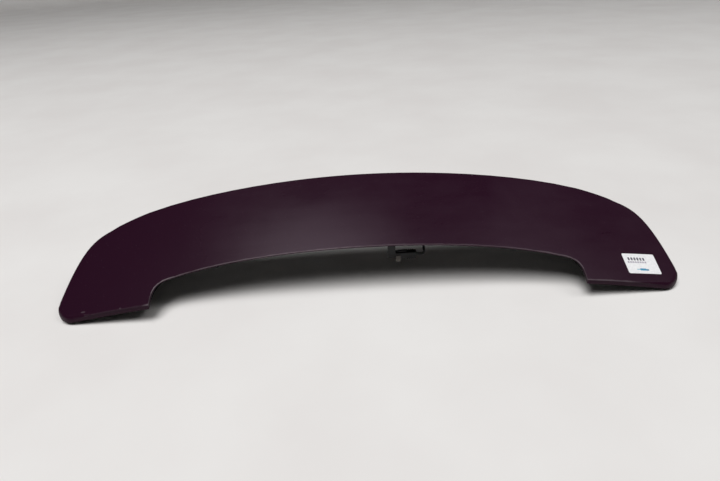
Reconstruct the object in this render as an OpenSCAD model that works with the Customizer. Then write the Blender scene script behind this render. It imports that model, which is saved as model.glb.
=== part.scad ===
// Tailgate spoiler: a painted crescent panel with two legs, closed below by a
// black moulded shell that carries the fixings, the seals and the stop lamp.
// X runs across the car, the trailing edge is towards +Y, and the part lies on
// its mating face with the panel rising to the rear.

/* [Panel] */
// Overall width across the two leg tips
span = 1064; // [1044:4:1092]
// Depth of the panel at its middle, lip to trailing edge, seen from above
chord = 152; // [140:1:164]
// Height of the lip's top face at the middle
lip_height = 90; // [84:1:100]
// Rise of the panel towards the trailing edge, degrees
panel_pitch = 26; // [23:0.5:29]
// Radius of the panel's crown across the car
crown_r = 2660; // [2400:20:3400]
// Bow of the panel between lip and trailing edge
panel_bow = 0.8; // [0:0.1:1.5]
// Wall of the painted panel, measured straight down
panel_wall = 3; // [2.6:0.1:3.6]

/* [Outline] */
// Distance of each shoulder from the middle
shoulder_x = 458; // [440:1:462]
// How far the trailing edge has run forward at the shoulder
shoulder_sweep = 41; // [34:1:48]
// Flare of each side towards the front, degrees
side_flare = 8.5; // [5:0.1:12]
// How far the side runs forward of the lip before it turns
side_reach = 13.2; // [8:0.4:18]
// Radius of each front outer corner, seen from above
corner_r = 36; // [28:1:40]

/* [Cut-out] */
// Half of the width of the cut-out between the legs
notch_x = 363; // [350:1:376]
// How far the legs reach forward of the lip
leg_reach = 57.8; // [52:0.2:66]
// Where the lip starts to turn into the leg
lip_turn_x = 338; // [326:1:342]
// How far forward the lip has run where it turns
lip_sweep = 18.4; // [14:0.2:22]

/* [Edges] */
// Thickness of the sharp leading lip
lip_edge = 2; // [1.8:0.1:2.6]
// Height of the turned-down band at the leg's inner corner
band_in = 8; // [6:0.5:10]
// Height of the turned-down band at the leg's tip
band_out = 9; // [8:0.5:11]
// Radius of the rolled trailing edge at the middle
roll_mid = 4; // [3.8:0.1:6]
// Radius of the rolled sides
roll_side = 12; // [10:0.5:18]
// Depth of the trailing edge's painted face
tail_depth = 22; // [18:0.5:26]
// Draft of the painted side faces, degrees
skirt_draft = 6; // [3:0.5:9]

/* [Mating face] */
// Radius of the tailgate's crown under the spoiler
mate_r = 2900; // [2700:50:3200]
// Half-width at which the mating face meets a flat floor
mate_half = 490; // [480:1:498]
// How far the lower shell lies above the side faces' edge
mate_inset = 1; // [0.5:0.1:2]

/* [Lower shell] */
// Wall of the lower shell
shell_wall = 2.5; // [2:0.1:3]
// Clearance between pieces that nest
nest_gap = 0.3; // [0.2:0.05:0.5]
// Width of the flange bonded under the panel
flange_w = 9; // [7:0.5:12]
// Set-back of the lower shell from the lip at the middle
setback_mid = 22; // [18:1:30]
// Set-back of the lower shell from the edge of the legs
setback_leg = 14; // [13:0.5:18]
// Front edge of the mating rail behind the lip, at the middle
rail_front = 86; // [80:1:90]
// Width of the mating rail at the middle
rail_w = 26; // [24:1:30]

/* [Fixings] */
// Distance of each stud from the middle
stud_x = 284; // [276:2:290]
// Distance of the studs behind the lip's middle
stud_y = 89; // [87:0.5:92]
// Diameter of the studs
stud_d = 6; // [5:1:8]
// How far each stud stands out below its seat
stud_len = 13; // [10:0.5:14]
// Distance of each threaded insert from the middle
insert_x = 420; // [405:1:432]
// Place of the front inserts, behind the lip's middle
insert_front = -14; // [-20:1:0]
// Place of the rear inserts, behind the lip's middle
insert_rear = 62; // [45:1:72]
// Thread core diameter of the inserts
insert_core_d = 5; // [4.2:0.1:6.8]
// Length of the inserts
insert_len = 10; // [8:0.5:12]
// Distance of each push clip from the middle
clip_x = 190; // [186:1:206]
// Distance of the push clips behind the lip's middle
clip_y = 95; // [93:0.5:96]
// Length of a push clip below its seat
clip_len = 9; // [7:0.5:10]
// Outer diameter of the foam rings at the fixings
ring_d = 20; // [18:1:22]
// Thickness of the foam rings at the fixings
ring_t = 2.5; // [2:0.1:3.5]

/* [Stop lamp] */
// Half of the lamp's length
lamp_half = 122; // [100:2:140]
// Height of the painted edge above the lamp
lamp_drop = 7; // [6:0.5:8]
// Height of the lens
lens_h = 12.5; // [10:0.5:14]
// Depth of the lamp, from the lens inwards
lamp_depth = 24; // [20:1:28]
// Number of light sources on the lamp's board
led_count = 12; // [8:1:16]

/* [Plug] */
// Distance of the plug's bracket from the middle
plug_x = 48; // [46:1:60]
// Distance of the plug behind the lip's middle
plug_y = 70; // [68:0.5:72]
// How far the plug's middle lies below the mating face
plug_low = 10; // [8:0.5:12]
// Length of the plug
plug_len = 38; // [32:1:44]
// Diameter of the lamp's lead
lead_d = 5; // [4:0.5:6]

/* [Seals and label] */
// Thickness of the foam strip under the lip
lip_seal_t = 2; // [1.5:0.1:2.4]
// Thickness of the foam strip on the rail
rail_seal_t = 2.5; // [2:0.1:3]
// Length of the paper label
label_w = 58; // [50:1:62]
// Depth of the paper label
label_d = 35; // [30:1:40]
// Distance of the label's middle in from the leg's tip
label_in = 64; // [62:1:72]

/* [Hidden] */

// Plan curves
// A cubic curve through four control points
function bezier(p, t) =
    p[0]*pow(1-t, 3) + 3*p[1]*t*pow(1-t, 2) + 3*p[2]*t*t*(1-t) + p[3]*pow(t, 3);
function mix(a, b, t) = a + (b-a)*t;
function ease(a, b, x) = let(t = max(0, min(1, (x-a)/(b-a)))) t*t*(3-2*t);

// The trailing edge and the lip each run forward by a soft curve plus one that
// only bites towards its end
function run(x, end, sweep, soft, power) = let(t = x/end) sweep*(soft*t*t + (1-soft)*pow(t, power));
function end_angle(end, sweep, soft, power) = atan(sweep*(2*soft + power*(1-soft))/end);
tail_soft = 0.67;
tail_power = 7;
lip_soft = 0.45;
lip_power = 4.5;
function tail_at(x) = [x, chord - run(x, shoulder_x, shoulder_sweep, tail_soft, tail_power)];
function lip_at(x) = [x, -run(x, lip_turn_x, lip_sweep, lip_soft, lip_power)];
function heading(a) = [cos(a), -sin(a)];

side_end = [span/2 - corner_r*(1-cos(side_flare)), -side_reach];
side_dir = heading(90-side_flare);
shoulder = tail_at(shoulder_x);
shoulder_dir = heading(end_angle(shoulder_x, shoulder_sweep, tail_soft, tail_power));
shoulder_pull = 44.6;
side_pull = 98.6;
side_curve = [shoulder, shoulder+shoulder_pull*shoulder_dir, side_end-side_pull*side_dir, side_end];
corner_c = side_end - corner_r*[cos(side_flare), sin(side_flare)];

lip_turn = lip_at(lip_turn_x);
lip_dir = heading(end_angle(lip_turn_x, lip_sweep, lip_soft, lip_power));
notch = [notch_x, -leg_reach];
notch_pull = [27, 14];
notch_curve = [lip_turn, lip_turn+notch_pull.x*lip_dir, notch+[0, notch_pull.y], notch];
crease_end = corner_c + [0, -corner_r];

// Outer edge: 0 to 1 the trailing edge, 1 to 2 the side, 2 to 3 the front corner
function corner(t) = corner_c + corner_r*heading(mix(-side_flare, 90, t));
function outer_at(v) = v < 1 ? tail_at(v*shoulder_x) : v < 2 ? bezier(side_curve, v-1) : corner(v-2);

// Stations: 0 to 1 along the lip, 1 to 2 round the notch, 2 to 3 along the leg's
// front crease, 3 to 4 round the front corner
tail_v = 0.87;
shoulder_v = 1.12;
corner_v = 0.43;
function outer_v(s) =
    s < 1 ? tail_v*s :
    s < 2 ? mix(tail_v, shoulder_v, s-1) :
    s < 3 ? mix(shoulder_v, 2, s-2) : 2 + corner_v*(s-3);
function outer(s) = outer_at(outer_v(s));
function inner(s) =
    s < 1 ? lip_at(s*lip_turn_x) :
    s < 2 ? bezier(notch_curve, s-1) :
    s < 3 ? mix(notch, crease_end, s-2) : corner(1 - corner_v*(s-3));

// Height of the panel's top face over a point of the plan
function top(p) =
    lip_height + p.y*tan(panel_pitch) - p.x*p.x/(2*crown_r)
    + panel_bow*(1 - pow((2*p.y-chord)/chord, 2));
// Height of the mating face over a point of the plan
function mate(x) = max(0, (mate_half*mate_half - x*x)/(2*mate_r));

// A point of the section at station s, q in from the inner edge, at height z
function length_at(s) = norm(outer(s)-inner(s));
function plan(s, q) = let(a = inner(s), b = outer(s)) a + (b-a)*q/norm(b-a);
function at(s, q, z) = let(p = plan(s, q)) [p.x, p.y, z];
function top_at(s, q) = top(plan(s, q));
function flip(pts) = [for (p = pts) [-p.x, p.y, p.z]];

function reversed(l) = [for (i = [len(l)-1:-1:0]) l[i]];
function both(half) = concat([for (s = reversed(half)) if (s > 0) -s], half);
function joined(l) = [for (a = l) each a];

// Skin over a row of closed sections that all have as many points
module loft(sections) {
    n = len(sections);
    m = len(sections[0]);
    polyhedron(
        points = joined(sections),
        faces = concat(
            [for (i = [0:n-2], j = [0:m-1]) let(k = (j+1)%m) [i*m+j, i*m+k, (i+1)*m+k]],
            [for (i = [0:n-2], j = [0:m-1]) let(k = (j+1)%m) [i*m+j, (i+1)*m+k, (i+1)*m+j]],
            [[for (j = [0:m-1]) m-1-j]],
            [[for (j = [0:m-1]) (n-1)*m+j]]),
        convexity = 8);
}

// Moves the lip's middle to the middle of the part's box
module placed() {
    translate([0, (leg_reach-chord)/2, 0])
        children();
}

// Station whose outer end lies x from the middle, on the trailing edge
function station_at(x) = x/(tail_v*shoulder_x);
lamp_s = station_at(lamp_half);
// Two stations this far apart make a step in an edge
step = 0.002;

// Edge sizes along the stations
function band(s) = mix(mix(lip_edge, band_in, ease(1.2, 2, s)), band_out, ease(2, 3, s));
function band_round(s) = min(0.42*length_at(s), mix(0.8, 7, ease(2.7, 3.05, s)));
function tail_z(s) = top(outer(s)) - tail_depth;
function skirt_z(s) =
    let(p = outer(s), t = top(p))
    s < lamp_s+step/2 ? t - lamp_drop :
    mix(mix(t-tail_depth, mate(p.x), ease(0.7, 1.6, s)), t-band_out, ease(2.8, 3.6, s));
// How far the painted skin has come down over the rounded tip
function tip_drop(s) =
    let(r = band_out-2, h = min(length_at(s)/2, corner_r), d = corner_r - sqrt(corner_r*corner_r - h*h))
    s < 3 || d > r ? 0 : min(r - sqrt(r*r - (r-d)*(r-d)), band_out-panel_wall-0.8);
function skin(s, q) = top_at(s, q) - tip_drop(s);
function roll(s) =
    let(face = top(outer(s)) - skirt_z(s) - tip_drop(s))
    min(0.42*length_at(s), face-1, mix(roll_mid, roll_side, ease(0.8, 2, s)));
function tuck(s) = (top(outer(s))-skirt_z(s))*tan(skirt_draft);

// Upper shell: rolled outer edge, thin lip, turned-down bands on the legs
function upper_section(s) =
    let(l = length_at(s), z0 = top_at(s, 0)-band(s), r = roll(s), w = panel_wall)
    let(rb = min(band_round(s), band(s)-tip_drop(s)-0.4))
    let(zs = skirt_z(s), tk = tuck(s), ri = max(0.2, r-w))
    let(span_q = l-r-rb, in_q = max(w, rb)+0.6, out_q = l-r-max(0, w-r+ri))
    let(inside = concat(
        [for (a = [90:-15:0]) let(q = out_q+ri*sin(a)) [q, skin(s, q)-r+(r-w)*cos(a)]],
        [for (k = [5:-1:1]) let(q = mix(in_q, out_q, k/6)) [q, skin(s, q)-w]],
        [[w+0.6, skin(s, w+0.6)-w]]))
    concat(
        [at(s, 0, z0)],
        [for (a = [0:22.5:90]) let(q = rb*(1-cos(a))) at(s, q, skin(s, q) - rb*(1-sin(a)))],
        [for (k = [1:5]) let(q = rb+span_q*k/6) at(s, q, skin(s, q))],
        [for (a = [0:15:90]) let(q = l-r+r*sin(a)) at(s, q, skin(s, q) - r*(1-cos(a)))],
        [at(s, l-tk, zs), at(s, l-tk-w, zs)],
        [for (p = inside) at(s, p.x, s > tip_solid ? mix(z0, zs, p.x/l)+tip_step : p.y)],
        [at(s, w, z0)]);
// The hollow under the skin ends just before the corner's middle
tip_solid = 3.93;
tip_step = 0.3;

half_stations = concat(
    [for (k = [0:5]) lamp_s*k/5],
    [for (k = [0:7]) mix(lamp_s+step, 1, k/7)],
    [for (k = [1:10]) 1+k/10],
    [for (k = [1:12]) 2+k/12],
    [for (k = [1:9]) 3+k/10],
    [tip_solid+step, 4]);

// Places a point-wise section on both halves of the part
function sided(s, pts) = s < 0 ? flip(pts) : pts;

module upper_shell() {
    color("#17131a")
        placed()
            loft([for (s = both(half_stations)) sided(s, upper_section(abs(s)))]);
}

// Lower shell: a trough that hangs from a flange bonded under the panel, runs
// down to the mating rail and rises behind it into the painted skirt
low_end = 2.72;
function under(s, q) = top_at(s, q) - panel_wall - nest_gap;
function legs(s) = ease(0.75, 1.7, s);
function front_q(s) = mix(setback_mid, setback_leg, legs(s));
function rail_q(s) = mix(rail_front, setback_leg+7, legs(s));
function rail_end_q(s) =
    mix(rail_front+rail_w, length_at(s)-tuck(s)-panel_wall-nest_gap-1, legs(s));
function rail_z(s, q) = mate(plan(s, q).x) + mate_inset;
// Inner face of the skirt at height z, less the clearance
function skirt_q(s, z) =
    let(t = top(outer(s)), r = roll(s))
    length_at(s) - panel_wall - nest_gap - tuck(s)*(t-r-z)/max(1, t-r-skirt_z(s));
function curve(p, n) = [for (k = [1:n-1]) bezier(p, k/n)];

function low_section(s, filled) =
    let(w = shell_wall, u = front_q(s), a = rail_q(s), b = rail_end_q(s))
    let(lamp = s < lamp_s+step/2, zu = under(s, u)-w, za = rail_z(s, a), zb = rail_z(s, b))
    let(zj = lamp ? tail_z(s) : max(skirt_z(s), zb+4))
    let(top_in = top(outer(s))-roll(s)-0.5, zk = min(top_in, zj + (lamp ? 1.2 : 7)))
    let(qj = lamp ? length_at(s)-panel_wall-nest_gap-1.5 : skirt_q(s, zj))
    let(qk = lamp ? qj : skirt_q(s, zk))
    let(f1 = [mix(u, a, 0.2), mix(zu, za, 0.2)], f2 = [mix(u, a, 0.8), mix(zu, za, 0.85)])
    let(r1 = [mix(b, qj, 0.3), mix(zb, zj, 0.25)], r2 = [mix(b, qj, 0.7), mix(zb, zj, 0.7)])
    let(front = [[u, zu], f1, f2, [a, za]], rear = [[b, zb], r1, r2, [qj, zj]])
    let(inside = concat(
        [for (p = curve(front, 4)) p + [0.9*w, 0.6*w]],
        [[a+0.7*w, za+w], [mix(a, b, 0.33), rail_z(s, mix(a, b, 0.33))+w]],
        [[mix(a, b, 0.67), rail_z(s, mix(a, b, 0.67))+w], [b-0.8*w, zb+w]],
        [for (p = curve(rear, 4)) p + [-w, 0.3*w]],
        [[qj-w, zj]]))
    let(pts = concat(
        [[u-flange_w, under(s, u-flange_w)], [u+0.9*w, under(s, u+0.9*w)]],
        [for (p = inside) filled ? [p.x, under(s, p.x)] : p],
        [[qk-w, zk], [qk, zk], [qj, zj]],
        reversed(curve(rear, 4)),
        [[b, zb], [mix(a, b, 0.67), rail_z(s, mix(a, b, 0.67))]],
        [[mix(a, b, 0.33), rail_z(s, mix(a, b, 0.33))], [a, za]],
        reversed(curve(front, 4)),
        [[u, zu], [u-flange_w, under(s, u-flange_w)-w]]))
    [for (p = pts) at(s, p.x, p.y)];

low_stations = concat(
    [for (k = [0:4]) lamp_s*k/4],
    [for (k = [0:6]) mix(lamp_s+step, 1, k/6)],
    [for (k = [1:9]) 1+k/9],
    [for (k = [1:7]) mix(2, low_end-0.03, k/7)],
    [low_end-0.028, low_end]);

// Flat seats, bosses and bores for the fixings
function sides() = [-1, 1];
stud_z = mate(stud_x) + mate_inset - 1.2;
insert_z = mate(insert_x) + mate_inset - 2;
clip_z = mate(clip_x) + mate_inset - 0.6;
boss_h = 9;
clip_hole_d = 7;
clip_head_r = 5.5;
clip_wall = 4;
module at_studs() {
    for (k = sides()) translate([k*stud_x, stud_y, stud_z]) children();
}
module at_inserts() {
    for (k = sides(), y = [insert_front, insert_rear]) translate([k*insert_x, y, insert_z]) children();
}
module at_clips() {
    for (k = sides()) translate([k*clip_x, clip_y, clip_z]) children();
}
insert_r = insert_core_d/2 + 2;
neck_r = stud_d/2 + 0.6;
plug_z = mate(plug_x) - plug_low;
bracket_w = 14;
// From the plug's end to the grommet, across and back
lead_turn = [17, 23];
plug_start = plug_x + bracket_w/2 + 0.1;
grommet_x = plug_start + plug_len + lead_turn.x;
grommet_y = plug_y + lead_turn.y;
grommet_z = mate(grommet_x) + mate_inset - 0.7;
grommet_r = lead_d/2 + 2;
module bosses() {
    translate([grommet_x, grommet_y, grommet_z]) cylinder(r = grommet_r+4, h = shell_wall+1, $fn = 48);
    at_studs() cylinder(r = ring_d/2+1, h = boss_h, $fn = 48);
    at_inserts() cylinder(r = ring_d/2+1, h = insert_len+1, $fn = 48);
    at_clips() cylinder(r = clip_head_r+1, h = clip_wall, $fn = 48);
}
// Moulded bracket that holds the plug below the front wall
module bracket() {
    translate([plug_x-bracket_w/2, plug_y-5, plug_z-4])
        cube([bracket_w, 10, under_front_z-plug_z+9]);
}
// Height of the front wall's outer face at the plug
plug_share = (rail_front-plug_y)/(rail_front-setback_mid);
under_front_z = mix(rail_z(0, rail_front), under(0, setback_mid), plug_share);
module lower_shell() {
    color("#101012")
        placed()
            difference() {
                union() {
                    loft([for (s = both(low_stations))
                        sided(s, low_section(abs(s), abs(s) > low_end-0.029))]);
                    bosses();
                    bracket();
                }
                at_studs() translate([0, 0, -1]) cylinder(r = neck_r+0.05, h = boss_h+2, $fn = 48);
                at_inserts() translate([0, 0, -1]) cylinder(r = insert_r, h = insert_len+1, $fn = 48);
                at_clips() translate([0, 0, -1]) cylinder(d = clip_hole_d, h = 8, $fn = 48);
                translate([grommet_x, grommet_y, grommet_z-1])
                    cylinder(r = grommet_r, h = shell_wall+3, $fn = 48);
            }
}

// Studs with a chamfered end, a thicker neck in the boss and the foam ring, and a
// round head on top of the boss
module stud() {
    r = stud_d/2;
    neck = ring_t + 0.6;
    translate([0, 0, -stud_len]) cylinder(r1 = r-0.8, r2 = r, h = 0.8, $fn = 48);
    translate([0, 0, 0.8-stud_len]) cylinder(r = r, h = stud_len-0.8, $fn = 48);
    translate([0, 0, -neck]) cylinder(r = neck_r, h = neck+boss_h, $fn = 48);
    translate([0, 0, boss_h]) cylinder(r = stud_d, h = 1.6, $fn = 48);
}
module mounting_studs() {
    color("#b9bcc0") placed() at_studs() stud();
}

// Brass inserts with a grooved outside and a tapped core
module insert() {
    r = insert_core_d/2;
    o = insert_r - 0.02;
    groove = 0.5;
    h = insert_len;
    rotate_extrude($fn = 64)
        polygon([[r, 0], [o, 0], [o, h*0.35], [o-groove, h*0.4], [o-groove, h*0.6], [o, h*0.65],
            [o, h-0.8], [o-0.8, h], [r, h]]);
}
module thread_inserts() {
    color("#c9a24a") placed() at_inserts() insert();
}

// Nylon push clips: a flange under the rail, a barbed shank, a head above the rail
module push_clip() {
    n = clip_hole_d/2 - 0.2;
    rotate_extrude($fn = 48)
        polygon([[0, -clip_len], [1.4, -clip_len], [4.2, -clip_len*0.55], [2.6, -clip_len*0.5],
            [2.6, -1.5], [clip_head_r, -1.5], [clip_head_r, -nest_gap/2], [n, -nest_gap/2],
            [n, clip_wall+0.2], [n+0.9, clip_wall+0.4], [n-0.6, clip_wall+2.4], [0, clip_wall+2.4]]);
}
module push_clips() {
    color("#e9e4d2") placed() at_clips() push_clip();
}

// Foam rings that seal round the studs and the inserts
module ring() {
    translate([0, 0, -ring_t-0.05]) difference() {
        cylinder(d = ring_d, h = ring_t, $fn = 48);
        translate([0, 0, -1]) cylinder(d = stud_d+2.4, h = ring_t+2, $fn = 48);
    }
}
module fixing_seals() {
    color("#2a2a2c") placed() {
        at_studs() ring();
        at_inserts() ring();
    }
}

// A strip between two distances from the inner edge, under a given height
function strip(s, q0, q1, z0, z1, t) = [at(s, q0, z0-t), at(s, q0, z0), at(s, q1, z1), at(s, q1, z1-t)];
function steps(a, b, n) = [for (k = [0:n]) mix(a, b, k/n)];
seat_gap = 0.15;

// Foam strip under the lip
lip_seal_end = 1.15;
function lip_seal_section(s) =
    let(a = panel_wall+0.9, b = front_q(s)-flange_w-0.5, up = nest_gap-seat_gap)
    strip(s, a, b, under(s, a)+up, under(s, b)+up, lip_seal_t);
module lip_seal() {
    color("#232325") placed()
        loft([for (s = both(steps(0, lip_seal_end, 18))) sided(s, lip_seal_section(abs(s)))]);
}

// Foam strip along the rear of the mating rail
rail_seal_end = 0.46;
function rail_seal_section(s) =
    let(b = rail_end_q(s)-1, a = b-5.5)
    strip(s, a, b, rail_z(s, a)-seat_gap, rail_z(s, b)-seat_gap, rail_seal_t);
module rail_seal() {
    color("#232325") placed()
        loft([for (s = both(steps(0, rail_seal_end, 10))) sided(s, rail_seal_section(abs(s)))]);
}

// Foam pads on the mating face of the legs
pad_w = 36;
pad_l = 44;
pad_t = 1.8;
pad_x = span/2 - 70;
pad_y = 22;
function pad_section(x) =
    let(t = mate(x)+mate_inset-seat_gap, a = pad_y-pad_l/2, b = pad_y+pad_l/2)
    [[x, a, t-pad_t], [x, a, t], [x, b, t], [x, b, t-pad_t]];
module leg_pads() {
    color("#2a2a2c") placed() {
        loft([for (x = steps(pad_x-pad_w/2, pad_x+pad_w/2, 6)) pad_section(x)]);
        mirror([1, 0, 0]) loft([for (x = steps(pad_x-pad_w/2, pad_x+pad_w/2, 6)) pad_section(x)]);
    }
}

// Rubber blocks in the hollow of the leg tips, down to the mating face
buffer_in = 2.86;
buffer_out = 3.25;
buffer_w = 24;
function buffer_section(s) =
    let(a = (length_at(s)-buffer_w)/2, b = a+buffer_w)
    [at(s, a, mate_inset), at(s, a, under(s, a)), at(s, b, under(s, b)), at(s, b, mate_inset)];
module buffer() {
    loft([for (s = steps(buffer_in, buffer_out, 6)) buffer_section(s)]);
}
module tip_buffers() {
    color("#1c1c1e") placed() {
        buffer();
        mirror([1, 0, 0]) buffer();
    }
}

// Stop lamp along the trailing edge: distances are in from the outer edge and
// down from the edge's top
lamp_end = lamp_s - 0.0016;
lamp_stations = both(steps(0, lamp_end, 8));
lens_top = lamp_drop + 0.5;
lens_low = lens_top + lens_h;
lens_in = 9;
function lamp_point(s, p) = at(s, length_at(s)-p.x, top(outer(s))-p.y);
module lamp_loft(pts, stations) {
    loft([for (s = stations) sided(s, [for (p = pts) lamp_point(abs(s), p)])]);
}
roof = tan(panel_pitch);
function roof_y(x) = panel_wall + 0.9 + x*roof;
lens_wall = 1.8;
// The two rims of a lamp section end this far apart
rim = 0.1;
module lamp_lens() {
    top_in = lens_in - 2*rim;
    top_out = max(lens_top, roof_y(top_in));
    w = lens_wall;
    color("#9c1018") placed()
        lamp_loft([[lens_in, lens_low], [lens_in-rim, lens_low-w], [4, lens_low-w], [3, lens_top+w],
            [top_in, roof_y(lens_in)+w], [top_in-rim, top_out], [1, lens_top], [2.1, lens_low]],
            lamp_stations);
}
house_in = lens_in + 0.3;
house_wall = 1.8;
house_low = lens_low + 4;
module lamp_housing() {
    d = lamp_depth;
    w = house_wall;
    color("#151517") placed()
        lamp_loft([[d, house_low], [d, roof_y(d)], [house_in, roof_y(house_in)],
            [house_in+rim, roof_y(house_in)+w], [d-w, roof_y(d-w)+w], [d-w, house_low-w-0.5],
            [house_in+2*rim, lens_low-w], [house_in, lens_low]], lamp_stations);
}
board_in = 13;
board_t = 1.6;
board_top = roof_y(board_in) + house_wall + 0.3;
board_low = lens_low - house_wall - 0.1;
module lamp_board() {
    color("#1f5a34") placed()
        lamp_loft([[board_in+board_t, board_low], [board_in+board_t, board_top+1],
            [board_in, board_top], [board_in, board_low]], both(steps(0, lamp_end-0.004, 8)));
}
led_w = 3.5;
led_t = 2.2;
module lamp_leds() {
    color("#f2efe0") placed()
        for (i = [0:led_count-1]) {
            x = (lamp_half-12)*(2*(i+0.5)/led_count-1);
            s = station_at(abs(x));
            p = outer(s);
            translate([sign(x)*p.x, p.y-board_in+led_t/2+0.1, top(p)-(board_top+board_low)/2])
                cube([led_w, led_t, led_w], center = true);
        }
}
module lamp_gasket() {
    color("#2a2a2c") placed()
        lamp_loft([[lens_in-1, tail_depth-1.3], [lens_in-1, lens_low+0.1],
            [5, lens_low+0.1], [5, tail_depth-1.3]], lamp_stations);
}

// Plug of the lamp's lead, parked on the bracket, with its pale lock
plug_w = 13;
plug_h = 12;
module rounded(w, h, r) {
    offset(r = r, $fn = 24) square([w-2*r, h-2*r], center = true);
}
module plug_bar(x, l, w, h, r) {
    translate([x, plug_y, plug_z]) rotate([90, 0, 90]) linear_extrude(l) rounded(w, h, r);
}
module lamp_plug() {
    color("#0e0e10") placed() {
        difference() {
            union() {
                plug_bar(plug_start, plug_len, plug_w, plug_h, 1.5);
                for (k = [0:3]) plug_bar(plug_start+plug_len*0.55+k*3.4, 1.6, plug_w+2, plug_h+2, 2);
                translate([plug_start+4, plug_y-2.5, plug_z+plug_h/2-0.5]) cube([16, 5, 3]);
            }
            translate([plug_start+plug_len-6, plug_y, plug_z]) rotate([0, 90, 0])
                cylinder(d = lead_d+0.3, h = 8, $fn = 48);
        }
    }
}
lock_w = 8.5;
module plug_lock() {
    x = plug_start + 0.4;
    color("#e6e0cc") placed() {
        translate([x, plug_y-plug_w/2-2.2, plug_z-plug_h/2-4.5]) cube([lock_w, 2, 12]);
        translate([x, plug_y-plug_w/2-0.3, plug_z-plug_h/2-4.5]) cube([lock_w, plug_w*0.7, 4.3]);
    }
}

// Lead from the plug through the grommet in the rail and up to the lamp: points
// chosen by hand, first from the plug's end, then from the lamp's inner face
lead_at = [plug_start+plug_len, plug_y, plug_z];
lead_slack = [[-5, 0, 0], [0, 0, 0], [6, 0.5, -1], [12, 4, -2.5], [16, 10, -3.5], [17, 16, -2.5],
    [17, 21, 0], [17, 23, 4], [17, 23, 10], [17, 23, 20], [17, 25, 44], [16, 30, 72]];
lead_rise = [[0, -14, -8], [0, -4, 0], [0, -2, 0], [0, 0, 0]];
lead_end = lamp_point(station_at(lead_at.x+12), [lamp_depth+0.3, house_low-lead_d/2-0.7]);
lead_path = concat([for (p = lead_slack) lead_at+p], [for (p = lead_rise) lead_end+p]);
function catmull(p, i, t) =
    let(n = len(p)-1, a = p[max(0, i-1)], b = p[i], c = p[min(n, i+1)], d = p[min(n, i+2)])
    0.5*(2*b + (c-a)*t + (2*a-5*b+4*c-d)*t*t + (3*b-a-3*c+d)*t*t*t);
lead_line = concat([for (i = [0:len(lead_path)-2], t = [0, 0.34, 0.67]) catmull(lead_path, i, t)],
    [lead_path[len(lead_path)-1]]);
function unit(v) = v/norm(v);
lead_sides = 10;
function lead_ring(i) =
    let(n = len(lead_line)-1, a = lead_line[max(0, i-1)], b = lead_line[min(n, i+1)])
    let(d = unit(b-a), u = unit(cross(d, [0.3, -0.95, 0.1])), v = cross(d, u), r = lead_d/2-0.02)
    [for (k = [0:lead_sides-1]) let(g = -360*k/lead_sides)
        lead_line[i] + r*(cos(g)*u + sin(g)*v)];
module lamp_lead() {
    color("#131315") placed()
        loft([for (i = [0:len(lead_line)-1]) lead_ring(i)]);
}
module lead_grommet() {
    r = lead_d/2 + 0.1;
    g = grommet_r - 0.05;
    h = shell_wall + 1;
    color("#1c1c1e") placed()
        translate([grommet_x, grommet_y, grommet_z])
            rotate_extrude($fn = 48)
                polygon([[r, -3], [r+1.2, -3], [g+2.5, -1.6], [g+2.5, -seat_gap], [g, -seat_gap],
                    [g, h+seat_gap], [g+1.4, h+seat_gap], [g-0.6, h+2.4], [r, h+2.4]]);
}

// Paper label on the right leg
label_x = span/2 - label_in;
label_y = -22;
label_turn = 3.5;
label_t = 0.2;
label_lift = 0.12;
function label_point(x, y) =
    let(c = cos(label_turn), n = sin(label_turn), p = [label_x+x*c-y*n, label_y+x*n+y*c])
    [p.x, p.y, top(p)+label_lift];
// Half of the label from its middle to its rounded end: distance and half-depth
label_r = 2.2;
label_half = concat(
    [for (x = steps(0, label_w/2-label_r, 4)) [x, label_d/2]],
    [for (a = [30:30:90]) [label_w/2-label_r*(1-sin(a)), label_d/2-label_r*(1-cos(a))]]);
function label_section(x, h) =
    let(z = [0, 0, label_t])
    concat([for (y = [-h, 0, h]) label_point(x, y)+z], [for (y = [h, 0, -h]) label_point(x, y)]);
module paper_label() {
    color("#f4f3ef") placed()
        loft(concat(
            [for (p = reversed(label_half)) if (p.x > 0) label_section(-p.x, p.y)],
            [for (p = label_half) label_section(p.x, p.y)]));
}

upper_shell();
lower_shell();
mounting_studs();
thread_inserts();
push_clips();
fixing_seals();
lip_seal();
rail_seal();
leg_pads();
tip_buffers();
lamp_housing();
lamp_lens();
lamp_board();
lamp_leds();
lamp_gasket();
lamp_plug();
plug_lock();
lamp_lead();
lead_grommet();
paper_label();
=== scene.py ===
# Tailgate spoiler of a small hatchback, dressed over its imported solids. Each
# section is one piece or one group of like pieces, in the order of assembly.
import math

import bmesh
import bpy
from mathutils import Matrix, Vector


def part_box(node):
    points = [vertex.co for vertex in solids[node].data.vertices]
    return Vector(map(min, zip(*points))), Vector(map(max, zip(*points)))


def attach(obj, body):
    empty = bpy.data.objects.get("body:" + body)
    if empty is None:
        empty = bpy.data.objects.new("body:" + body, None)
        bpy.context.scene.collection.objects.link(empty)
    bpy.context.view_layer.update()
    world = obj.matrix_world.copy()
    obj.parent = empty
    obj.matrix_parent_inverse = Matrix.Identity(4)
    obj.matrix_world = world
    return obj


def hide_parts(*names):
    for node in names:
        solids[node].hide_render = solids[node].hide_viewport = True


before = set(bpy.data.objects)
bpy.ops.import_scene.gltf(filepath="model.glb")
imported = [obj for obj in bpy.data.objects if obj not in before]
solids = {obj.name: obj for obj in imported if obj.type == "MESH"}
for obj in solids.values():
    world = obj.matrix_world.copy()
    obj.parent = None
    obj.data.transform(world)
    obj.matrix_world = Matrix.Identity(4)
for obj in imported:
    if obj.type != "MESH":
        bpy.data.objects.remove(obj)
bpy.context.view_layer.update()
scene = bpy.context.scene

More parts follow.
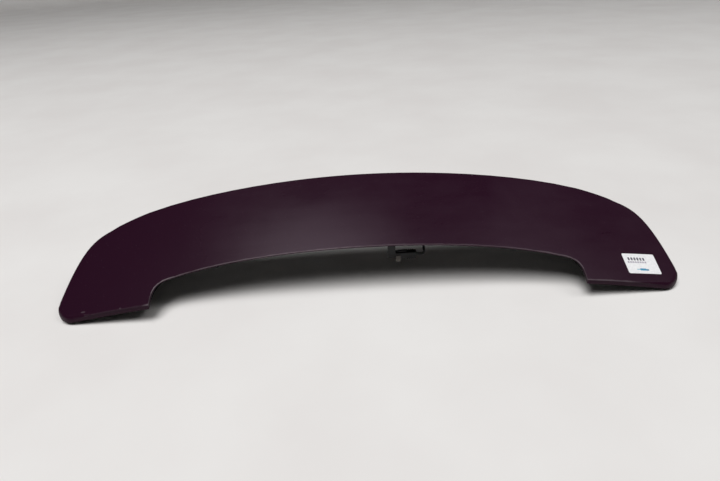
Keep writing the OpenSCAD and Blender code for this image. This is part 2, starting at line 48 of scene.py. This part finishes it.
# Camera: it stands where the photograph was taken, in front of the lip and
# about half a metre above the floor, tipped down and rolled a little.
photo_w = 720
focal_px = 549
off_centre_px = (-4.9, -0.9)
eye = bpy.data.cameras.new("eye")
eye.sensor_width = 36
eye.lens = focal_px / photo_w * eye.sensor_width
eye.shift_x, eye.shift_y = (shift / photo_w for shift in off_centre_px)
camera = bpy.data.objects.new("eye", eye)
camera.matrix_world = (
    Matrix.Translation((0, -0.8631, 0.537))
    @ Matrix.Rotation(math.radians(62), 4, "X")
    @ Matrix.Rotation(math.radians(-3.3), 4, "Z")
)
scene.collection.objects.link(camera)
scene.camera = camera


# Studio floor: pale, matt painted board that curves up into a low wall far
# away. Its faint mottle keeps the shadow's edge from looking computed.
def linear(code):
    """An sRGB hex colour as the linear colour a shader takes."""
    shades = [int(code[i : i + 2], 16) / 255 for i in (1, 3, 5)]
    return [s / 12.92 if s <= 0.04045 else ((s + 0.055) / 1.055) ** 2.4 for s in shades] + [1.0]


def add(tree, kind, sockets=(), stops=(), take=None, into=None, **settings):
    """Adds one node: its settings, a ramp's stops, its sockets' values or links, and where it leads.

    It gives the output named by take, or else the node's first one in use.
    """
    made = tree.nodes.new(kind)
    for name, value in settings.items():
        setattr(made, name, value)
    for number, (position, colour) in enumerate(stops):
        ramp = made.color_ramp.elements
        stop = ramp[number] if number < 2 else ramp.new(position)
        stop.position = position
        stop.color = colour
    for name, value in dict(sockets).items():
        if isinstance(value, bpy.types.NodeSocket):
            tree.links.new(value, made.inputs[name])
        else:
            made.inputs[name].default_value = value
    given = made.outputs[take] if take else next(output for output in made.outputs if output.enabled)
    if into:
        tree.links.new(given, into)
    return given


def finish(name, **sockets):
    """A new material: its node tree and its shader, with the plain socket values set."""
    made = bpy.data.materials.new(name)
    made.use_nodes = True
    shader = made.node_tree.nodes["Principled BSDF"]
    for socket, value in sockets.items():
        shader.inputs[socket.replace("_", " ")].default_value = value
    return made, made.node_tree, shader


def cells_of(size_mm):
    """How many cells of a pattern fill a metre, from one cell in millimetres."""
    return 1000 / size_mm


board, tree, shader = finish("matt_painted_board", Roughness=0.85)
place = add(tree, "ShaderNodeTexCoord", take="Object")
mottle = add(tree, "ShaderNodeTexNoise", {"Vector": place, "Scale": cells_of(333.3), "Detail": 4.0})
add(
    tree,
    "ShaderNodeValToRGB",
    {"Fac": mottle},
    [(0.35, linear("#e6e3e1")), (0.65, linear("#ebe9e7"))],
    into=shader.inputs["Base Color"],
)

floor_r, bend_r, wall_top = 9.0, 1.2, 1.7
bend_steps, floor_sides = 12, 96
turns = [math.radians(90) * step / bend_steps for step in range(bend_steps + 1)]
side_view = [(0.0, 0.0)]
side_view += [(floor_r + bend_r * math.sin(turn), bend_r - bend_r * math.cos(turn)) for turn in turns]
side_view.append((floor_r + bend_r, wall_top))
work = bmesh.new()
points = [work.verts.new((x, 0, z)) for x, z in side_view]
lines = [work.edges.new(pair) for pair in zip(points, points[1:])]
bmesh.ops.spin(
    work, geom=points + lines, cent=(0, 0, 0), axis=(0, 0, 1), angle=math.tau, steps=floor_sides
)
bmesh.ops.remove_doubles(work, verts=work.verts, dist=0.0001)
bmesh.ops.recalc_face_normals(work, faces=work.faces)
if sum(face.normal.z for face in work.faces) < 0:
    bmesh.ops.reverse_faces(work, faces=work.faces)
for face in work.faces:
    face.smooth = True
sheet = bpy.data.meshes.new("studio_floor")
work.to_mesh(sheet)
work.free()
cove = bpy.data.objects.new("studio_floor", sheet)
sheet.materials.append(board)
scene.collection.objects.link(cove)


# Studio light: a very broad soft box overhead, whose edge is seen in the
# lacquer, a smaller one to the right and a dim, even room.
def soft_box(name, at, size, power):
    """A rectangular lamp that points at the middle of the part."""
    lamp = bpy.data.lights.new(name, "AREA")
    lamp.shape = "RECTANGLE"
    lamp.size, lamp.size_y = size
    lamp.energy = power
    held = bpy.data.objects.new(name, lamp)
    held.location = at
    held.rotation_euler = (Vector((0, 0, 0.05)) - Vector(at)).to_track_quat("-Z", "Y").to_euler()
    scene.collection.objects.link(held)


soft_box("key_box", (-1.7, -2.5, 8.6), (5.6, 6.6), 820)
soft_box("fill_box", (5.4, -1.4, 8.6), (3.2, 5.2), 150)
room = bpy.data.worlds.new("room")
room.use_nodes = True
room_light = room.node_tree.nodes["Background"].inputs
room_light["Color"].default_value = linear("#f4f3f2")
room_light["Strength"].default_value = 0.015
scene.world = room
scene.view_settings.view_transform = "Standard"


# Painted panel: one injection moulding in ABS, sprayed satin black on the outside only. Its lip shows a
# pale line of rubbed paint and painted highlight, and dust and painted sheen lie on the flatter top.
weld = 2e-6


def shade(work, sharp):
    """Shades mesh work smooth, but not over edges that turn more than so many degrees."""
    for face in work.faces:
        face.smooth = True
    for edge in work.edges:
        edge.smooth = len(edge.link_faces) == 2 and edge.calc_face_angle(0) < math.radians(sharp)


def smooth_copy(name, source, sharp, material):
    """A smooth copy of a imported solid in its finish, its triangles merged back into quads."""
    shape = solids[source].data.copy()
    work = bmesh.new()
    work.from_mesh(shape)
    bmesh.ops.remove_doubles(work, verts=work.verts, dist=weld)
    bmesh.ops.join_triangles(
        work,
        faces=work.faces,
        angle_face_threshold=math.radians(3),
        angle_shape_threshold=math.radians(50),
    )
    shade(work, sharp)
    work.to_mesh(shape)
    work.free()
    shape.materials.clear()
    shape.materials.append(material)
    made = bpy.data.objects.new(name, shape)
    scene.collection.objects.link(made)
    even = made.modifiers.new("even_normals", "WEIGHTED_NORMAL")
    even.keep_sharp = True
    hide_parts(source)
    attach(made, "root")
    return made


# Satin acrylic lacquer over black ABS, sprayed: it looks black with a broad, soft sheen, and shows haze,
# wipe marks and rubbed edges. Its plum tint is a painted reflection of red surroundings, and part of its
# sheen and of its pale edges is painted highlight.
paint, tree, shader = finish("sprayed_satin_black_lacquer", IOR=1.5, Specular_IOR_Level=0.12)
place = add(tree, "ShaderNodeTexCoord", take="Object")
normal = add(tree, "ShaderNodeNewGeometry", take="Normal")
facing_up = add(tree, "ShaderNodeSeparateXYZ", {"Vector": normal}, take="Z")
upward = add(tree, "ShaderNodeMapRange", {"Value": facing_up, "From Min": 0.45, "From Max": 0.9})
cloud = add(
    tree,
    "ShaderNodeTexNoise",
    {"Vector": place, "Scale": cells_of(153.8), "Detail": 6.0, "Roughness": 0.62, "Distortion": 0.5},
)
clouds = add(tree, "ShaderNodeMapRange", {"Value": cloud, "From Min": 0.36, "From Max": 0.7})
# A cloth has left streaks about 110 mm long and 22 mm apart, askew to the car.
wiped = add(
    tree,
    "ShaderNodeMapping",
    {
        "Vector": place,
        "Rotation": (0, 0, math.radians(24)),
        "Scale": (cells_of(111.1), cells_of(21.74), cells_of(111.1)),
    },
)
streak = add(tree, "ShaderNodeTexNoise", {"Vector": wiped, "Scale": 1.0, "Detail": 4.0})
streaks = add(tree, "ShaderNodeMapRange", {"Value": streak, "From Min": 0.4, "From Max": 0.72})


def patch(tree, place, centre, radius, stretch=(1, 1, 1)):
    """A soft mask about a point, for a mark that sits in one place."""
    off = add(tree, "ShaderNodeVectorMath", {0: place, 1: centre}, operation="SUBTRACT")
    off = add(tree, "ShaderNodeVectorMath", {0: off, 1: stretch}, operation="MULTIPLY")
    away = add(tree, "ShaderNodeVectorMath", {0: off}, operation="LENGTH")
    return add(
        tree,
        "ShaderNodeMapRange",
        {"Value": away, "From Min": 0.0, "From Max": radius, "To Min": 1.0, "To Max": 0.0},
        interpolation_type="SMOOTHSTEP",
    )


dust_and_painted_sheen = add(tree, "ShaderNodeMath", {0: clouds, 1: 0.1}, operation="MULTIPLY")
dust_and_painted_sheen = add(tree, "ShaderNodeMath", {0: streaks, 1: 0.05, 2: dust_and_painted_sheen}, operation="MULTIPLY_ADD")
# Towards the left leg the dust film fades out, a painted shade where the lacquer's sheen ends.
across = add(tree, "ShaderNodeSeparateXYZ", {"Vector": place}, take="X")
sheen_reach = add(tree, "ShaderNodeMapRange", {"Value": across, "From Min": -0.33, "From Max": -0.24})
dust_and_painted_sheen = add(tree, "ShaderNodeMath", {0: dust_and_painted_sheen, 1: sheen_reach}, operation="MULTIPLY")
# Painted sheen: soft pale patches that stand for the lacquer's broad reflection of the lights, each with
# its middle, radius, stretch and strength: the strongest left of the middle, two weaker ones beside it. A
# smear was wiped out of it.
sheen_patches = (
    ((-0.07, -0.06, 0), 0.18, (1, 1.2, 0), 0.45),
    ((-0.19, -0.05, 0), 0.1, (1, 0.55, 0), 0.1),
    ((0.29, -0.05, 0), 0.14, (1, 0.9, 0), 0.1),
)
for *sheen_place, strength in sheen_patches:
    sheen = patch(tree, place, *sheen_place)
    dust_and_painted_sheen = add(tree, "ShaderNodeMath", {0: sheen, 1: strength, 2: dust_and_painted_sheen}, operation="MULTIPLY_ADD")
smear = patch(tree, place, (-0.086, 0.057, 0.14), 0.05, (1, 1.6, 1))
dust_and_painted_sheen = add(
    tree, "ShaderNodeMath", {0: smear, 1: -0.1, 2: dust_and_painted_sheen}, operation="MULTIPLY_ADD", use_clamp=True
)
dust_and_painted_sheen = add(tree, "ShaderNodeMath", {0: dust_and_painted_sheen, 1: upward}, operation="MULTIPLY")
speck = add(tree, "ShaderNodeTexNoise", {"Vector": place, "Scale": cells_of(1.923), "Detail": 1.0})
specks = add(tree, "ShaderNodeMapRange", {"Value": speck, "From Min": 0.74, "From Max": 0.8})
specks = add(tree, "ShaderNodeMath", {0: specks, 1: upward}, operation="MULTIPLY")
dust_and_sheen_film = add(tree, "ShaderNodeMath", {0: dust_and_painted_sheen, 1: 0.11}, operation="MULTIPLY")
dust_and_sheen_film = add(tree, "ShaderNodeMath", {0: specks, 1: 0.08, 2: dust_and_sheen_film}, operation="MULTIPLY_ADD")
# The plum-tinged base is a painted reflection of red surroundings, and the lilac film over it is dust
# with a painted sheen.
outside = add(
    tree,
    "ShaderNodeMix",
    {"Factor": dust_and_sheen_film, "A": linear("#250d1d"), "B": linear("#b9a2b4")},
    data_type="RGBA",
)

# The inside is bare moulding with only some overspray, so it is duller.
bare = add(tree, "ShaderNodeMapRange", {"Value": facing_up, "From Min": 0.0, "From Max": -0.35})
before_edge_line = add(
    tree, "ShaderNodeMix", {"Factor": bare, "A": outside, "B": linear("#131214")}, data_type="RGBA"
)

# The lip and the leg's crease show a pale, ragged line: partly paint rubbed through, partly a painted
# highlight where the rounded edge catches the light. How strongly each stretch shows runs from the left
# leg's crease to the right one's.
edge_mark = add(tree, "ShaderNodeAttribute", take="Fac", attribute_name="worn_and_lit_edge")
ragged = add(tree, "ShaderNodeTexNoise", {"Vector": place, "Scale": cells_of(13.33), "Detail": 5.0})
start = add(
    tree,
    "ShaderNodeMapRange",
    {"Value": ragged, "From Min": 0.3, "From Max": 0.7, "To Min": 0.995, "To Max": 0.93},
)
end = add(tree, "ShaderNodeMath", {0: start, 1: 0.012}, operation="ADD")
rubbed_and_lit = add(tree, "ShaderNodeMapRange", {"Value": edge_mark, "From Min": start, "From Max": end})
along = add(tree, "ShaderNodeMapRange", {"Value": across, "From Min": -0.5, "From Max": 0.5})
stretches = ((0.125, 0.03), (0.14, 0.34), (0.165, 0.3), (0.2, 0.14), (0.34, 0.2), (0.45, 0.2), (0.5, 0.1))
stretches += ((0.72, 0.1), (0.86, 0.2), (0.935, 0.15), (0.958, 0.0))
strength = add(
    tree,
    "ShaderNodeValToRGB",
    {"Fac": along},
    [(at, (level, level, level, 1)) for at, level in stretches],
)
rub_and_glint = add(tree, "ShaderNodeMath", {0: rubbed_and_lit, 1: strength}, operation="MULTIPLY")
# Chips in the lacquer along the left leg's crease.
chips = (
    ((-0.479, -0.0957, 0.0225), 0.009, (1, 3, 3)),
    ((-0.4119, -0.102, 0.0298), 0.003, (1, 1, 1)),
    ((-0.365, -0.1036, 0.0357), 0.003, (1, 1, 1)),
)
for chip in chips:
    spot = patch(tree, place, *chip)
    spot = add(tree, "ShaderNodeMath", {0: spot, 1: ragged}, operation="MULTIPLY")
    spot = add(tree, "ShaderNodeMapRange", {"Value": spot, "From Min": 0.22, "From Max": 0.34})
    spot = add(tree, "ShaderNodeMath", {0: spot, 1: 0.12}, operation="MULTIPLY")
    rub_and_glint = add(tree, "ShaderNodeMath", {0: rub_and_glint, 1: spot}, operation="MAXIMUM")
add(
    tree,
    "ShaderNodeMix",
    {"Factor": rub_and_glint, "A": before_edge_line, "B": linear("#9d9398")},
    into=shader.inputs["Base Color"],
    data_type="RGBA",
)
dull = add(tree, "ShaderNodeMapRange", {"Value": dust_and_painted_sheen, "To Min": 0.27, "To Max": 0.4})
dull = add(tree, "ShaderNodeMath", {0: rub_and_glint, 1: 0.2, 2: dull}, operation="MULTIPLY_ADD")
add(
    tree,
    "ShaderNodeMath",
    {0: bare, 1: 0.3, 2: dull},
    into=shader.inputs["Roughness"],
    operation="MULTIPLY_ADD",
    use_clamp=True,
)
# Spray leaves an orange peel about 4 mm from crest to crest.
peel = add(tree, "ShaderNodeTexNoise", {"Vector": place, "Scale": cells_of(4), "Detail": 2.0})
add(
    tree,
    "ShaderNodeBump",
    {"Height": peel, "Strength": 0.35, "Distance": 0.00003},
    into=shader.inputs["Normal"],
)

panel = smooth_copy("painted_panel", "upper_shell", 50, paint)
work = bmesh.new()
work.from_mesh(panel.data)
# The lamp's recess starts in one step, which is closed up everywhere above it.
step_w, recess_end_x = 0.00095, (0.1, 0.126)
steps = [
    edge
    for edge in work.edges
    if edge.calc_length() < step_w
    and abs(edge.verts[0].co.x - edge.verts[1].co.x) > 0.8 * edge.calc_length()
    and recess_end_x[0] < abs(edge.verts[0].co.x) < recess_end_x[1]
]
bmesh.ops.collapse(work, edges=steps)
# The narrow strips that turn over the lip and the crease take the pale line of wear and painted
# highlight, up to the rounded tips of the legs.
strip_w, strip_lean, tip_x = 0.0012, (0.1, 0.86), 0.49
worn_and_lit = work.verts.layers.float.new("worn_and_lit_edge")
for face in work.faces:
    length = max(edge.calc_length() for edge in face.edges)
    middle_x = face.calc_center_median().x
    towards_notch = face.normal.y < 0.02 or face.normal.x * math.copysign(1, middle_x) < -0.1
    leaning = strip_lean[0] < face.normal.z < strip_lean[1]
    if face.calc_area() / length < strip_w and leaning and towards_notch and abs(middle_x) <= tip_x:
        for corner in face.verts:
            corner[worn_and_lit] = 1.0
work.to_mesh(panel.data)
work.free()

# Lower shell: a black glass-filled polypropylene moulding bonded under the
# panel. It keeps its mould's fine spark-eroded grain and is never painted.
grained, tree, shader = finish("grained_black_polypropylene", Roughness=0.58, IOR=1.49)
place = add(tree, "ShaderNodeTexCoord", take="Object")
flow = add(
    tree,
    "ShaderNodeTexNoise",
    {"Vector": place, "Scale": cells_of(90.91), "Detail": 5.0, "Distortion": 1.2},
)
add(
    tree,
    "ShaderNodeValToRGB",
    {"Fac": flow},
    [(0.3, linear("#121214")), (0.75, linear("#1d1c1e"))],
    into=shader.inputs["Base Color"],
)
# Real grain is 0.1 mm wide: it is drawn at 1 mm so that it shows.
grain = add(
    tree, "ShaderNodeTexVoronoi", {"Vector": place, "Scale": cells_of(1.0526)}, feature="SMOOTH_F1"
)
add(
    tree,
    "ShaderNodeBump",
    {"Height": grain, "Strength": 0.5, "Distance": 0.00012},
    into=shader.inputs["Normal"],
)
smooth_copy("lower_moulding", "lower_shell", 32, grained)

# Studs: two M6 steel studs, zinc plated, their round heads moulded into the
# bosses. The thread is rolled at 1 mm pitch and stops short of a thicker neck.
zinc, tree, shader = finish("bright_zinc_plated_steel", Metallic=1.0)
# Zinc looks a cold, bright grey with a cloudy bloom, duller where it is paler.
place = add(tree, "ShaderNodeTexCoord", take="Object")
bloom = add(tree, "ShaderNodeTexNoise", {"Vector": place, "Scale": cells_of(3.846), "Detail": 4.0})
add(
    tree,
    "ShaderNodeValToRGB",
    {"Fac": bloom},
    [(0.3, linear("#9fa1a3")), (0.7, linear("#c6c8ca"))],
    into=shader.inputs["Base Color"],
)
add(
    tree,
    "ShaderNodeMapRange",
    {"Value": bloom, "To Min": 0.22, "To Max": 0.48},
    into=shader.inputs["Roughness"],
)

crest_r, root_r, neck_r, head_r = 0.003, 0.00248, 0.0036, 0.006
low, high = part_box("mounting_studs")
foot, head = low.z, high.z
stud_x, stud_y = high.x - head_r, (low.y + high.y) / 2
pitch, thread_turns, turn_steps = 0.001, 9, 24
crest_flat, lead_in, head_h = 0.00006, 0.0007, 0.0016
neck_z = foot + 0.0099
core_r = root_r + 0.0001
thread = [
    (root_r, 0),
    (crest_r - 0.0001, pitch / 2 - crest_flat),
    (crest_r, pitch / 2),
    (crest_r - 0.0001, pitch / 2 + crest_flat),
    (root_r, pitch),
]
outline = [
    (0, foot),
    (root_r - 0.0002, foot),
    (core_r, foot + 0.0006),
    (core_r, neck_z - 0.0002),
    (neck_r - 0.0003, neck_z),
    (neck_r, neck_z + 0.0003),
    (neck_r, head - head_h),
    (head_r - 0.0002, head - head_h),
    (head_r, head - head_h + 0.0002),
    (head_r, head - 0.0003),
    (head_r - 0.0003, head),
    (0, head),
]
work = bmesh.new()
for side in (-1, 1):
    middle = Vector((side * stud_x, stud_y, 0))
    points = [work.verts.new(middle + Vector((r, 0, foot + lead_in + z))) for r, z in thread]
    lines = [work.edges.new(pair) for pair in zip(points, points[1:])]
    bmesh.ops.spin(
        work,
        geom=points + lines,
        cent=middle,
        axis=(0, 0, 1),
        dvec=(0, 0, pitch / turn_steps),
        angle=math.tau * thread_turns,
        steps=turn_steps * thread_turns,
    )
    points = [work.verts.new(middle + Vector((r, 0, z))) for r, z in outline]
    lines = [work.edges.new(pair) for pair in zip(points, points[1:])]
    bmesh.ops.spin(
        work, geom=points + lines, cent=middle, axis=(0, 0, 1), angle=math.tau, steps=32, use_merge=True
    )
bmesh.ops.remove_doubles(work, verts=work.verts, dist=weld)
bmesh.ops.recalc_face_normals(work, faces=work.faces)
shade(work, 50)
shape = bpy.data.meshes.new("threaded_studs")
work.to_mesh(shape)
work.free()
shape.materials.append(zinc)
studs = bpy.data.objects.new("threaded_studs", shape)
scene.collection.objects.link(studs)
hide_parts("mounting_studs")
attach(studs, "root")

# Threaded inserts: turned brass, pressed hot into the legs' bosses. Only the
# rim and the tapped core can be seen from below.
turned_brass, tree, shader = finish("turned_brass", Metallic=1.0, Roughness=0.3)
# Turned brass looks a warm yellow metal, browner where it has tarnished.
place = add(tree, "ShaderNodeTexCoord", take="Object")
tarnish = add(tree, "ShaderNodeTexNoise", {"Vector": place, "Scale": cells_of(5.556), "Detail": 3.0})
add(
    tree,
    "ShaderNodeValToRGB",
    {"Fac": tarnish},
    [(0.3, linear("#a8853f")), (0.7, linear("#cfae67"))],
    into=shader.inputs["Base Color"],
)
# The tapped thread's 1 mm pitch, as rings. A band texture of scale 1 has 20
# radians to the metre.
band_unit = math.tau / 20
rings = add(
    tree,
    "ShaderNodeTexWave",
    {"Vector": place, "Scale": band_unit * cells_of(1)},
    take="Fac",
    wave_type="BANDS",
    bands_direction="Z",
)
add(
    tree,
    "ShaderNodeBump",
    {"Height": rings, "Strength": 0.8, "Distance": 0.0004},
    into=shader.inputs["Normal"],
)
smooth_copy("brass_inserts", "thread_inserts", 35, turned_brass)

# Push clips: natural nylon, injection moulded, snapped into the rail to hold
# the spoiler while its nuts are put on.
nylon, tree, shader = finish(
    "natural_moulded_nylon",
    Roughness=0.42,
    IOR=1.53,
    Subsurface_Weight=0.25,
    Subsurface_Radius=(0.002, 0.0018, 0.0014),
    Subsurface_Scale=1.0,
)
# Natural nylon looks a milky off-white that light sinks into, yellowed in places.
place = add(tree, "ShaderNodeTexCoord", take="Object")
age = add(tree, "ShaderNodeTexNoise", {"Vector": place, "Scale": cells_of(11.11), "Detail": 3.0})
add(
    tree,
    "ShaderNodeValToRGB",
    {"Fac": age},
    [(0.3, linear("#d9cfb4")), (0.75, linear("#ece6d4"))],
    into=shader.inputs["Base Color"],
)
smooth_copy("nylon_clips", "push_clips", 35, nylon)

# Foam seals: closed-cell polyethylene die-cut from sheet and stuck on, as rings
# at the fixings, strips at lip and rail, pads under the legs and the lamp's gasket.
foam, tree, shader = finish("closed_cell_polyethylene_foam", Roughness=0.95, IOR=1.4)
# Foam looks dead matt and dark grey. Its cells are drawn at 0.9 mm so that they show as a fine pitting,
# and each is coloured darker towards its middle as painted shade in the pit.
place = add(tree, "ShaderNodeTexCoord", take="Object")
pits = add(tree, "ShaderNodeTexVoronoi", {"Vector": place, "Scale": cells_of(0.9091)})
add(
    tree,
    "ShaderNodeValToRGB",
    {"Fac": pits},
    [(0.0, linear("#19191b")), (0.8, linear("#323235"))],
    into=shader.inputs["Base Color"],
)
add(
    tree,
    "ShaderNodeBump",
    {"Height": pits, "Strength": 0.7, "Distance": 0.0003},
    into=shader.inputs["Normal"],
)
for source in ("fixing_seals", "lip_seal", "rail_seal", "leg_pads", "lamp_gasket"):
    smooth_copy("foam_" + source, source, 30, foam)

# Tip buffers and grommet: moulded rubber. The blocks keep the hollow leg tips
# off the tailgate, and the grommet seals the lead's hole in the rail.
rubber, tree, shader = finish("moulded_nitrile_rubber", Roughness=0.72, IOR=1.52)
# Moulded rubber looks matt black, with a grey bloom that has come to its surface.
place = add(tree, "ShaderNodeTexCoord", take="Object")
bloom = add(tree, "ShaderNodeTexNoise", {"Vector": place, "Scale": cells_of(18.18), "Detail": 6.0})
add(
    tree,
    "ShaderNodeValToRGB",
    {"Fac": bloom},
    [(0.35, linear("#161617")), (0.8, linear("#2a2a2b"))],
    into=shader.inputs["Base Color"],
)
for source in ("tip_buffers", "lead_grommet"):
    smooth_copy("rubber_" + source, source, 35, rubber)

# Lamp housing: the stop lamp's black back, moulded in the lower shell's own
# polypropylene. It closes the painted edge from below.
smooth_copy("lamp_body", "lamp_housing", 30, grained)

# Lamp lens: clear red acrylic, injection moulded and welded to the housing all
# round. Its flutes spread each source's light sideways.
acrylic, tree, shader = finish("clear_red_acrylic", Roughness=0.12, IOR=1.49, Transmission_Weight=0.3)
# Red acrylic looks deep and glassy, with bright ridges where the flutes turn.
place = add(tree, "ShaderNodeTexCoord", take="Object")
depth = add(tree, "ShaderNodeTexNoise", {"Vector": place, "Scale": cells_of(41.67), "Detail": 2.0})
add(
    tree,
    "ShaderNodeValToRGB",
    {"Fac": depth},
    [(0.3, linear("#a30c14")), (0.7, linear("#bd141e"))],
    into=shader.inputs["Base Color"],
)
# The flutes are 4 mm apart.
flutes = add(
    tree,
    "ShaderNodeTexWave",
    {"Vector": place, "Scale": band_unit * cells_of(4)},
    take="Fac",
    wave_type="BANDS",
    bands_direction="X",
)
add(
    tree,
    "ShaderNodeBump",
    {"Height": flutes, "Strength": 0.6, "Distance": 0.0008},
    into=shader.inputs["Normal"],
)
smooth_copy("lamp_cover", "lamp_lens", 40, acrylic)

# Lamp board: glass-filled epoxy with printed copper tracks, which slides into
# the housing before the lens is welded on.
masked, tree, shader = finish("solder_masked_board", Roughness=0.35, IOR=1.5)
# Solder mask looks a glossy green, paler where a track lies under it.
place = add(tree, "ShaderNodeTexCoord", take="Object")
add(
    tree,
    "ShaderNodeTexBrick",
    {
        "Vector": place,
        "Color1": linear("#1c5a34"),
        "Color2": linear("#1f6239"),
        "Mortar": linear("#2f7d4c"),
        "Scale": cells_of(16.667),
        "Mortar Size": 0.03,
    },
    into=shader.inputs["Base Color"],
)
smooth_copy("source_board", "lamp_board", 30, masked)

# Light sources: twelve white moulded packages, soldered to the board in a row.
# Each has a window of phosphor that faces the lens.
phosphor, tree, shader = finish("white_package_with_phosphor", Roughness=0.3)
# The package looks a satin white and its phosphor a dull yellow.
normal = add(tree, "ShaderNodeNewGeometry", take="Normal")
facing_back = add(tree, "ShaderNodeSeparateXYZ", {"Vector": normal}, take="Y")
window = add(tree, "ShaderNodeMapRange", {"Value": facing_back, "From Min": 0.6, "From Max": 0.9})
add(
    tree,
    "ShaderNodeMix",
    {"Factor": window, "A": linear("#e9e6df"), "B": linear("#e2c75a")},
    into=shader.inputs["Base Color"],
    data_type="RGBA",
)
smooth_copy("light_sources", "lamp_leds", 30, phosphor)

# Lead's plug: a black moulded connector, which hangs on the lower shell's
# bracket until the part is fitted. Its plastic has the shell's fine grain.
smooth_copy("lead_plug", "lamp_plug", 30, grained)

# Plug's lock: a small slide moulded in acetal and clipped into the plug. It is
# pushed home once the two halves of the connector are joined.
acetal, tree, shader = finish("grey_moulded_acetal", Roughness=0.5, IOR=1.48)
# The acetal looks a dull, soiled grey, paler than all round it.
place = add(tree, "ShaderNodeTexCoord", take="Object")
soil = add(tree, "ShaderNodeTexNoise", {"Vector": place, "Scale": cells_of(6.25), "Detail": 4.0})
add(
    tree,
    "ShaderNodeValToRGB",
    {"Fac": soil},
    [(0.3, linear("#4f4a46")), (0.75, linear("#77716a"))],
    into=shader.inputs["Base Color"],
)
smooth_copy("secondary_lock", "plug_lock", 30, acetal)

# Lead: copper wires in one extruded sheath of soft vinyl, from the plug through
# the rail's grommet up to the lamp.
sheath, tree, shader = finish("extruded_soft_vinyl", Roughness=0.46, IOR=1.52)
# The vinyl looks black with a low sheen, greyed where it has been handled.
place = add(tree, "ShaderNodeTexCoord", take="Object")
scuff = add(tree, "ShaderNodeTexNoise", {"Vector": place, "Scale": cells_of(4.762), "Detail": 5.0})
add(
    tree,
    "ShaderNodeValToRGB",
    {"Fac": scuff},
    [(0.4, linear("#121213")), (0.8, linear("#29292a"))],
    into=shader.inputs["Base Color"],
)
smooth_copy("lamp_flex", "lamp_lead", 60, sheath)

# Label: coated white paper with a stock-keeper's bars, stuck on the right
# leg. Its printing is plain bars that stand for nothing.
coated, tree, shader = finish("coated_label_paper", Roughness=0.5, IOR=1.47)
# Coated paper looks a clean, even white with a very faint fibre in it.
place = add(tree, "ShaderNodeTexCoord", take="Object")
fibre = add(tree, "ShaderNodeTexNoise", {"Vector": place, "Scale": cells_of(3.125), "Detail": 4.0})
colour = add(
    tree,
    "ShaderNodeValToRGB",
    {"Fac": fibre},
    [(0.3, linear("#e4e4e6")), (0.7, linear("#f3f3f4"))],
)
# The printing is placed from the label's own middle, square to its edges.
low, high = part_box("paper_label")
middle = ((low.x + high.x) / 2, (low.y + high.y) / 2, 0)
own = add(
    tree,
    "ShaderNodeMapping",
    {"Vector": place, "Location": middle, "Rotation": (0, 0, math.radians(3.5))},
    vector_type="TEXTURE",
)
across = add(tree, "ShaderNodeSeparateXYZ", {"Vector": own}, take="X")
upwards = add(tree, "ShaderNodeSeparateXYZ", {"Vector": own}, take="Y")


def bar(tree, left, right, low, high):
    """A mask that is 1 inside a box, given in the label's own millimetres."""
    mask = add(tree, "ShaderNodeMath", {0: across, 1: left / 1000}, operation="GREATER_THAN")
    sides = (
        ("LESS_THAN", across, right),
        ("GREATER_THAN", upwards, low),
        ("LESS_THAN", upwards, high),
    )
    for test, measure, limit in sides:
        inside = add(tree, "ShaderNodeMath", {0: measure, 1: limit / 1000}, operation=test)
        mask = add(tree, "ShaderNodeMath", {0: mask, 1: inside}, operation="MULTIPLY")
    return mask


# A row of six dark bars, under it a row of eight pale dashes, and at the foot
# three blue bars side by side: each an ink and a box of left, right, low and high.
starts = [-21.2 + 5.3 * number for number in range(6)]
marks = [("#5b5763", (start, start + 3.2, 5.4, 10.6)) for start in starts]
starts = [-23.5 + 4.3 * number for number in range(8)]
marks += [("#aaa4b0", (start, start + 3.1, 0.8, 3.7)) for start in starts]
marks += [("#a8c9d6", (-12.4, -6.5, -11.6, -9.6)), ("#3c8fb5", (-6.5, 4, -12.3, -8.6))]
marks += [("#4b88a8", (4, 8.7, -12.4, -9.6))]
for ink, box in marks:
    colour = add(
        tree,
        "ShaderNodeMix",
        {"Factor": bar(tree, *box), "A": colour, "B": linear(ink)},
        data_type="RGBA",
    )
tree.links.new(colour, shader.inputs["Base Color"])
smooth_copy("stock_label", "paper_label", 30, coated)
